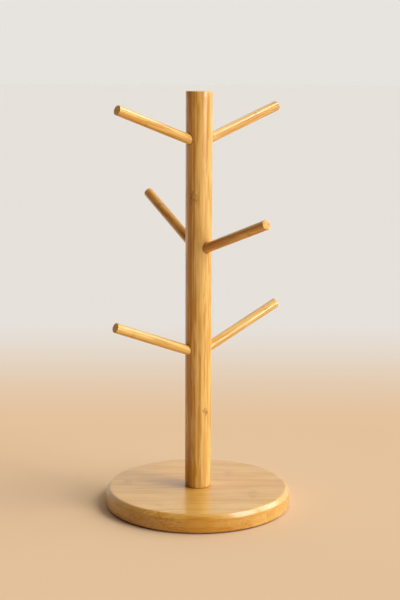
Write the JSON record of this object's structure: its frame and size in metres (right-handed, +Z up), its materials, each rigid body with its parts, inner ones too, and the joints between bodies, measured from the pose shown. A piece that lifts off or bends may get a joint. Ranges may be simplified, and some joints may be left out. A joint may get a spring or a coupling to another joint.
{
  "type": "mug tree",
  "caption": "Free-standing bamboo mug tree: round base, upright round post and three opposite pairs of sloping pegs that mugs hang from by their handles.",
  "frame": {"origin": "middle of the footprint, on the surface that the pads stand on", "axes": "+Z up along the post; -Y is the front; +X is to the right when seen from the front"},
  "size_m": [0.15, 0.15, 0.3344],
  "materials": {
    "bamboo_board": "laminated bamboo strips under a clear satin lacquer",
    "bamboo_post": "turned laminated bamboo under a clear satin lacquer",
    "bamboo_dowel": "bamboo dowel under a clear satin lacquer",
    "screw_steel": "zinc-plated steel",
    "pad_rubber": "matt black rubber"
  },
  "bodies": {
    "root": {"base": "bamboo_board", "post": "bamboo_post", "peg_top_left": "bamboo_dowel", "peg_top_right": "bamboo_dowel", "peg_middle_left": "bamboo_dowel", "peg_middle_right": "bamboo_dowel", "peg_bottom_left": "bamboo_dowel", "peg_bottom_right": "bamboo_dowel", "base_screw": "screw_steel", "pad_back_right": "pad_rubber", "pad_back_left": "pad_rubber", "pad_front_left": "pad_rubber", "pad_front_right": "pad_rubber"}
  },
  "joints": []
}
